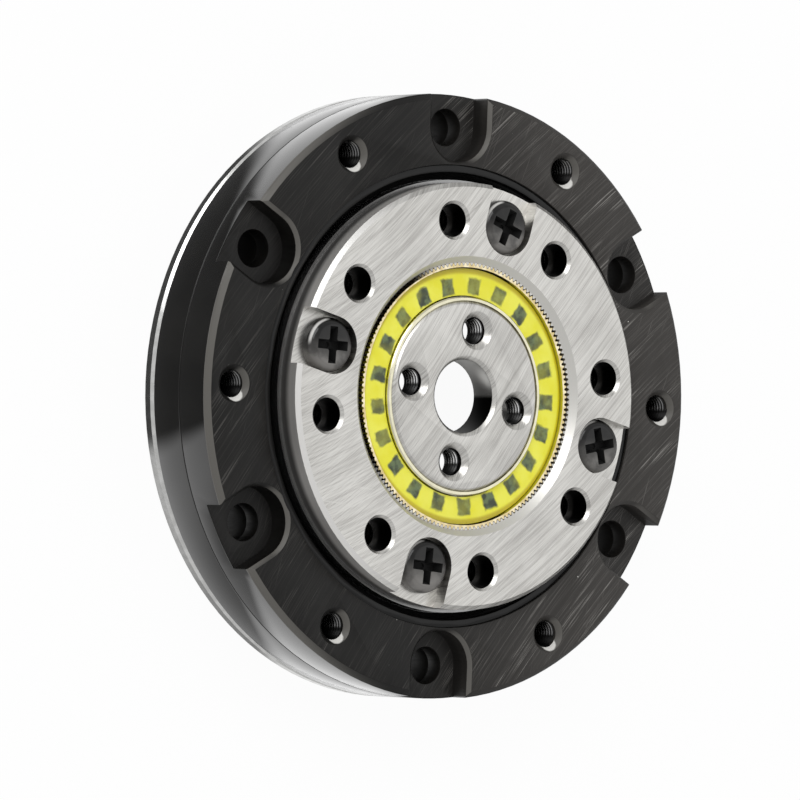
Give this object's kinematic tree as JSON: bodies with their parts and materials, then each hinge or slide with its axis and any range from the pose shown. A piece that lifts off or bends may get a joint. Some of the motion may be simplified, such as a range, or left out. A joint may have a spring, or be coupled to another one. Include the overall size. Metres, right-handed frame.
{
  "type": "strain wave gear",
  "caption": "Flat hollow strain wave gear unit: black notched bearing ring, bright output ring, oval wave generator plug and yellow ball cage.",
  "frame": {"origin": "centre of the rear mounting face of the flexspline flange", "axes": "+Z along the gear axis, out of the output face; +X along the long axis of the oval wave generator at rest"},
  "size_m": [0.029, 0.029, 0.0064],
  "materials": {
    "black_steel": "black oxide, satin faces and smooth rim",
    "spring_steel": "fine machined steel",
    "ground_steel": "ground steel with fine scratches",
    "bearing_steel": "polished hardened steel",
    "black_screws": "black oxide",
    "white_plastic": "plain moulded",
    "seal_rubber": "smooth black rubber",
    "yellow_plastic": "translucent bright yellow"
  },
  "bodies": {
    "housing": {"outer_ring_front": "black_steel", "outer_ring_rear": "black_steel", "flexspline": "spring_steel", "wave_bearing_outer_race": "bearing_steel", "front_seal": "seal_rubber", "rear_seal": "seal_rubber", "flange_o_ring": "seal_rubber", "flange_screws": "black_screws", "ring_dowels": "bearing_steel"},
    "output": {"circular_spline": "ground_steel", "bearing_inner_ring": "bearing_steel", "spline_screws": "black_screws", "spline_o_ring": "seal_rubber"},
    "roller_set": {"rollers_leaning_out": "bearing_steel", "rollers_leaning_in": "bearing_steel", "roller_spacers": "white_plastic"},
    "wave_generator": {"wave_generator_plug": "ground_steel", "wave_bearing_inner_race": "bearing_steel"},
    "wave_ball_set": {"wave_balls": "bearing_steel", "ball_cage": "yellow_plastic"}
  },
  "joints": [
    {"name": "input_spin", "type": "hinge", "parent": "housing", "child": "wave_generator", "pos_m": [0, 0, 0.0046], "axis": [0, 0, 1], "continuous": true, "deforming": ["flexspline", "wave_bearing_outer_race", "ball_cage"]},
    {"name": "output_spin", "type": "hinge", "parent": "housing", "child": "output", "pos_m": [0, 0, 0.00285], "axis": [0, 0, 1], "continuous": true},
    {"name": "roller_spin", "type": "hinge", "parent": "housing", "child": "roller_set", "pos_m": [0, 0, 0.00285], "axis": [0, 0, 1], "continuous": true},
    {"name": "wave_ball_spin", "type": "hinge", "parent": "housing", "child": "wave_ball_set", "pos_m": [0, 0, 0.0046], "axis": [0, 0, 1], "continuous": true}
  ],
  "couplings": [
    {"joint": "output_spin", "follows": "input_spin", "ratio": 0.012346},
    {"joint": "roller_spin", "follows": "input_spin", "ratio": 0.0059698},
    {"joint": "wave_ball_spin", "follows": "input_spin", "ratio": 0.448}
  ]
}
